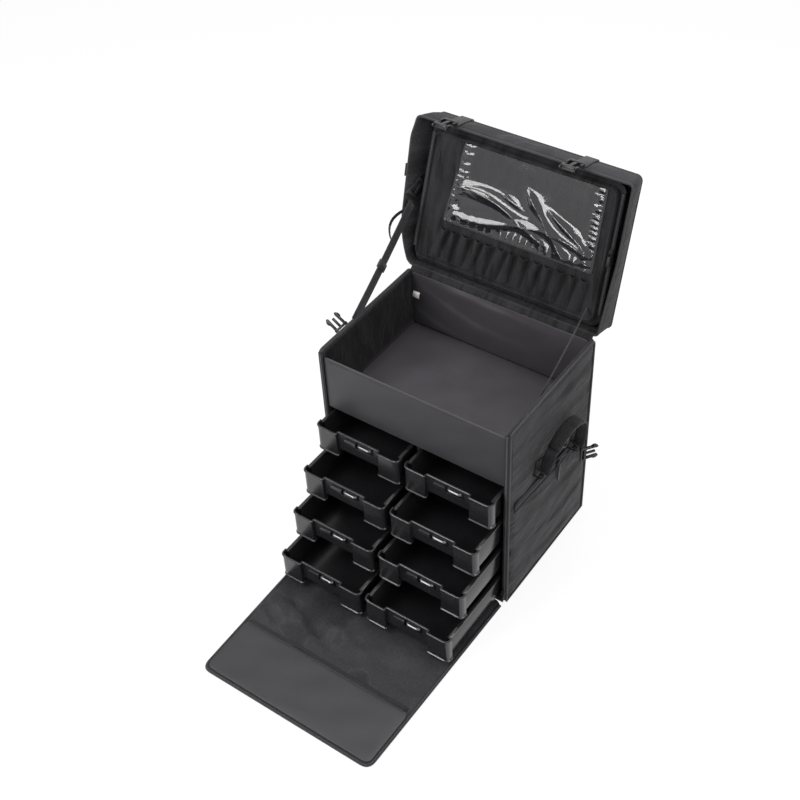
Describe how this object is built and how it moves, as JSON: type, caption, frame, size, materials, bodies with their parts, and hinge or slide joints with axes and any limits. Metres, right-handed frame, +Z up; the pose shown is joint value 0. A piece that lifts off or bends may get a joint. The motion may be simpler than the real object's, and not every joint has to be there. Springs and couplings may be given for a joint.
{
  "type": "rolling makeup case",
  "caption": "Soft-sided wheeled case with a hinged lid over an open tray, pull-out drawers behind a drop-down front flap, side buckles and a telescopic pull handle.",
  "frame": {"origin": "on the floor, under the middle of the case, on the underside of its base pan", "axes": "+Z up, +Y from the case's front to its back, +X to the case's right as seen from the front"},
  "size_m": [0.4736, 0.807, 0.7216],
  "materials": {
    "shell": "woven, padded",
    "lining": "textured",
    "satin": "smooth, satin",
    "board": "matt",
    "trim": "corded",
    "zip": "zip tape",
    "webbing": "ribbed webbing",
    "buckle": "moulded",
    "drawer": "glossy",
    "runner": "matt",
    "film": "clear, crinkled",
    "slider": "satin",
    "tube": "drawn",
    "moulding": "moulded",
    "tyre": "matt",
    "axle": "plain"
  },
  "bodies": {
    "case": {"base_board": "board", "left_wall": "shell", "right_wall": "shell", "back_wall": "shell", "tray_floor": "satin", "tray_front": "satin", "cabinet_divider": "board", "drawer_runners": "runner", "wall_piping": "trim", "front_zip_tape": "zip", "base_pan": "runner", "side_pocket": "shell", "pocket_zip": "zip", "handle_tabs": "webbing", "ring_tab": "webbing", "side_straps": "webbing", "male_buckles": "buckle", "lid_hinge_cord": "trim", "flap_hinge_cord": "trim", "stay_straps": "webbing", "wheel_housings": "moulding", "wheel_axles": "axle", "trolley_base": "moulding", "trolley_tubes": "tube", "trolley_collar": "moulding"},
    "lid": {"lid_panel": "shell", "lid_walls": "shell", "lid_lining": "satin", "lid_inner_panel": "lining", "lid_pocket_film": "film", "brush_band": "lining", "lid_straps": "webbing", "lid_buckles": "buckle"},
    "lid_slider": {"lid_zip_slider": "slider"},
    "flap": {"flap_panel": "shell", "flap_pocket": "satin", "flap_binding": "trim"},
    "front_slider_left": {"zip_slider_left": "slider"},
    "front_slider_right": {"zip_slider_right": "slider"},
    "pocket_slider": {"pocket_zip_slider": "slider"},
    "handle": {"carry_handle": "webbing"},
    "ring": {"handle_ring": "buckle"},
    "wheel_front": {"wheel_hub_front": "moulding", "tyre_front": "tyre"},
    "wheel_rear": {"wheel_hub_rear": "moulding", "tyre_rear": "tyre"},
    "trolley_stage": {"stage_tubes": "tube"},
    "trolley_handle": {"handle_rods": "tube", "trolley_grip": "moulding"},
    "button": {"grip_button": "moulding"},
    "left_drawer_1": {"drawer_left_1": "drawer"},
    "left_drawer_2": {"drawer_left_2": "drawer"},
    "left_drawer_3": {"drawer_left_3": "drawer"},
    "left_drawer_4": {"drawer_left_4": "drawer"},
    "right_drawer_1": {"drawer_right_1": "drawer"},
    "right_drawer_2": {"drawer_right_2": "drawer"},
    "right_drawer_3": {"drawer_right_3": "drawer"},
    "right_drawer_4": {"drawer_right_4": "drawer"}
  },
  "joints": [
    {"name": "lid_hinge", "type": "hinge", "parent": "case", "child": "lid", "pos_m": [0, 0.138, 0.4293], "axis": [-1, 0, 0], "range_deg": [-104.5, 0], "deforming": ["stay_straps"]},
    {"name": "flap_hinge", "type": "hinge", "parent": "case", "child": "flap", "pos_m": [0, -0.14, 0.0043], "axis": [-1, 0, 0], "range_deg": [0, 2.5]},
    {"name": "lid_zip_slide", "type": "slide", "parent": "lid", "child": "lid_slider", "axis": [0, 0.2504, 0.9681], "range_m": [-0.09, 0.09]},
    {"name": "front_zip_left_slide", "type": "slide", "parent": "case", "child": "front_slider_left", "axis": [0, 0, 1], "range_m": [0, 0.37]},
    {"name": "front_zip_right_slide", "type": "slide", "parent": "case", "child": "front_slider_right", "axis": [0, 0, 1], "range_m": [0, 0.37]},
    {"name": "pocket_zip_slide", "type": "slide", "parent": "case", "child": "pocket_slider", "axis": [0, 0.9962, -0.0872], "range_m": [-0.13, 0.02]},
    {"name": "carry_handle_hinge", "type": "hinge", "parent": "case", "child": "handle", "pos_m": [0.2035, 0.017, 0.248], "axis": [0, 0.9613, -0.2756], "range_deg": [-5, 110]},
    {"name": "ring_hinge", "type": "hinge", "parent": "case", "child": "ring", "pos_m": [0.1956, 0.045, 0.264], "axis": [0, -1, 0], "range_deg": [0, 95]},
    {"name": "front_wheel_spin", "type": "hinge", "parent": "case", "child": "wheel_front", "pos_m": [-0.222, -0.1, 0.026], "axis": [0, 1, 0], "continuous": true},
    {"name": "rear_wheel_spin", "type": "hinge", "parent": "case", "child": "wheel_rear", "pos_m": [-0.222, 0.1, 0.026], "axis": [0, 1, 0], "continuous": true},
    {"name": "trolley_stage_slide", "type": "slide", "parent": "case", "child": "trolley_stage", "axis": [0, 0, 1], "range_m": [0, 0.2]},
    {"name": "trolley_handle_slide", "type": "slide", "parent": "trolley_stage", "child": "trolley_handle", "axis": [0, 0, 1], "range_m": [0, 0.2]},
    {"name": "button_press", "type": "slide", "parent": "trolley_handle", "child": "button", "axis": [0, 0, -1], "range_m": [0, 0.004], "stiffness_N_per_m": 400},
    {"name": "left_drawer_1_slide", "type": "slide", "parent": "case", "child": "left_drawer_1", "axis": [0, -1, 0], "range_m": [-0.042, 0.158]},
    {"name": "left_drawer_2_slide", "type": "slide", "parent": "case", "child": "left_drawer_2", "axis": [0, -1, 0], "range_m": [-0.091, 0.109]},
    {"name": "left_drawer_3_slide", "type": "slide", "parent": "case", "child": "left_drawer_3", "axis": [0, -1, 0], "range_m": [-0.132, 0.068]},
    {"name": "left_drawer_4_slide", "type": "slide", "parent": "case", "child": "left_drawer_4", "axis": [0, -1, 0], "range_m": [-0.177, 0.023]},
    {"name": "right_drawer_1_slide", "type": "slide", "parent": "case", "child": "right_drawer_1", "axis": [0, -1, 0], "range_m": [-0.042, 0.158]},
    {"name": "right_drawer_2_slide", "type": "slide", "parent": "case", "child": "right_drawer_2", "axis": [0, -1, 0], "range_m": [-0.091, 0.109]},
    {"name": "right_drawer_3_slide", "type": "slide", "parent": "case", "child": "right_drawer_3", "axis": [0, -1, 0], "range_m": [-0.132, 0.068]},
    {"name": "right_drawer_4_slide", "type": "slide", "parent": "case", "child": "right_drawer_4", "axis": [0, -1, 0], "range_m": [-0.177, 0.023]}
  ]
}
